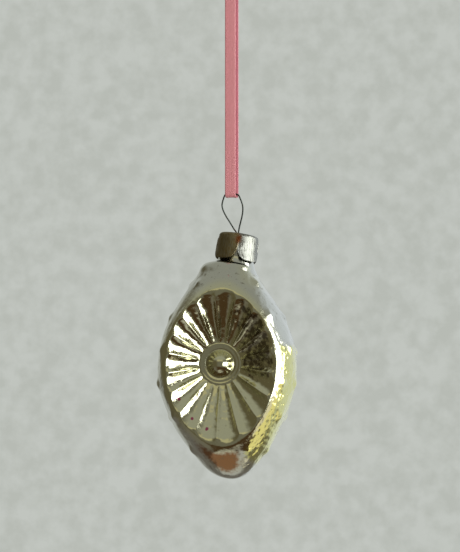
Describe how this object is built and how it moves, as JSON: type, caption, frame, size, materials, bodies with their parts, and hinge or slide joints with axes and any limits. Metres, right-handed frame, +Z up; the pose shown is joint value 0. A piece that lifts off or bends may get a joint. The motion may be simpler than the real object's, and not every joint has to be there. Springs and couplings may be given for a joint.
{
  "type": "hanging glass ornament",
  "caption": "Lemon-shaped silvered glass ornament with a fluted reflector in its front, a petalled tin cap, a sprung wire eye and a ribbon loop.",
  "frame": {"origin": "where a hook touches the underside of the ribbon's knot, in the middle of the hanging loop", "axes": "+Z up along the ribbon, +X to the right, -Y towards the viewer of the fluted reflector"},
  "size_m": [0.0397, 0.0345, 0.1578],
  "materials": {
    "silvered_glass": "silvered inside, worn yellow lacquer outside",
    "tinplate": "tarnished and rust-stained tinplate",
    "spring_steel": "dark oxidised spring wire",
    "satin_ribbon": "pink satin weave"
  },
  "bodies": {
    "ribbon_loop": {"ribbon": "satin_ribbon", "ribbon_knot": "satin_ribbon"},
    "hanger": {"hanger_wire": "spring_steel"},
    "cap": {"cap": "tinplate"},
    "bulb": {"glass_bulb": "silvered_glass"}
  },
  "joints": [
    {"name": "swing", "type": "hinge", "parent": "ribbon_loop", "child": "hanger", "pos_m": [0, 0, -0.062], "axis": [1, 0, 0], "range_deg": [-60, 60]},
    {"name": "turn", "type": "hinge", "parent": "hanger", "child": "cap", "pos_m": [0.0022, 0.0021, -0.0733], "axis": [0.1461, 0.1034, 0.9839], "continuous": true},
    {"name": "pull_off", "type": "slide", "parent": "cap", "child": "bulb", "axis": [-0.1461, -0.1034, -0.9839], "range_m": [0, 0.03]}
  ]
}
